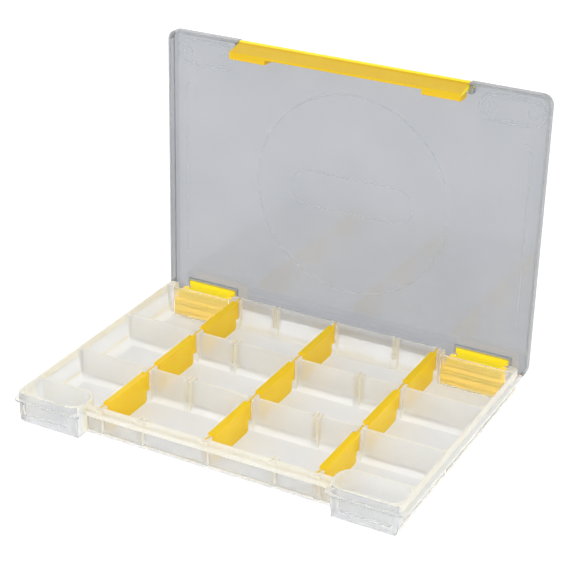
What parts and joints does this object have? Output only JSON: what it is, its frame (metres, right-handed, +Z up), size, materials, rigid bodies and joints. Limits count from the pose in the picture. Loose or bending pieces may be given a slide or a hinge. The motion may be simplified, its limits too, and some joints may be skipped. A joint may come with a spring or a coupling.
{
  "type": "tackle box",
  "caption": "Shallow translucent compartment box, lid open: lift-out yellow dividers, round-ended corner pockets, flat hinged lid, full-length front latch.",
  "frame": {"origin": "middle of the tray's flat underside, on the surface that the box stands on", "axes": "+X along the width, to the right as seen from the latch side; +Y towards the hinges; +Z up"},
  "size_m": [0.276, 0.2038, 0.2112],
  "materials": {
    "clear_plastic": "translucent, satin inside and smooth outside",
    "yellow_plastic": "satin",
    "pin_plastic": "satin"
  },
  "bodies": {
    "tray": {"tray": "clear_plastic", "hinge_base_left": "yellow_plastic", "hinge_base_right": "yellow_plastic", "hinge_pin_left": "pin_plastic", "hinge_pin_right": "pin_plastic"},
    "lid": {"lid": "clear_plastic", "hinge_leaf_left": "yellow_plastic", "hinge_leaf_right": "yellow_plastic"},
    "latch": {"front_latch": "yellow_plastic"},
    "divider_front_left_body": {"divider_front_left": "yellow_plastic"},
    "divider_front_centre_body": {"divider_front_centre": "yellow_plastic"},
    "divider_front_right_body": {"divider_front_right": "yellow_plastic"},
    "divider_middle_left_body": {"divider_middle_left": "yellow_plastic"},
    "divider_middle_centre_body": {"divider_middle_centre": "yellow_plastic"},
    "divider_middle_right_body": {"divider_middle_right": "yellow_plastic"},
    "divider_back_left_body": {"divider_back_left": "yellow_plastic"},
    "divider_back_centre_body": {"divider_back_centre": "yellow_plastic"},
    "divider_back_right_body": {"divider_back_right": "yellow_plastic"}
  },
  "joints": [
    {"name": "lid_hinge", "type": "hinge", "parent": "tray", "child": "lid", "pos_m": [0, 0.09255, 0.01765], "axis": [-1, 0, 0], "range_deg": [-90.6, 0]},
    {"name": "latch_hinge", "type": "hinge", "parent": "lid", "child": "latch", "pos_m": [0, 0.09949, 0.20794], "axis": [-1, 0, 0], "range_deg": [0, 95]},
    {"name": "divider_front_left_lift", "type": "slide", "parent": "tray", "child": "divider_front_left_body", "axis": [0, 0, 1], "range_m": [0, 0.022]},
    {"name": "divider_front_centre_lift", "type": "slide", "parent": "tray", "child": "divider_front_centre_body", "axis": [0, 0, 1], "range_m": [0, 0.022]},
    {"name": "divider_front_right_lift", "type": "slide", "parent": "tray", "child": "divider_front_right_body", "axis": [0, 0, 1], "range_m": [0, 0.022]},
    {"name": "divider_middle_left_lift", "type": "slide", "parent": "tray", "child": "divider_middle_left_body", "axis": [0, 0, 1], "range_m": [0, 0.022]},
    {"name": "divider_middle_centre_lift", "type": "slide", "parent": "tray", "child": "divider_middle_centre_body", "axis": [0, 0, 1], "range_m": [0, 0.022]},
    {"name": "divider_middle_right_lift", "type": "slide", "parent": "tray", "child": "divider_middle_right_body", "axis": [0, 0, 1], "range_m": [0, 0.022]},
    {"name": "divider_back_left_lift", "type": "slide", "parent": "tray", "child": "divider_back_left_body", "axis": [0, 0, 1], "range_m": [0, 0.022]},
    {"name": "divider_back_centre_lift", "type": "slide", "parent": "tray", "child": "divider_back_centre_body", "axis": [0, 0, 1], "range_m": [0, 0.022]},
    {"name": "divider_back_right_lift", "type": "slide", "parent": "tray", "child": "divider_back_right_body", "axis": [0, 0, 1], "range_m": [0, 0.022]}
  ]
}
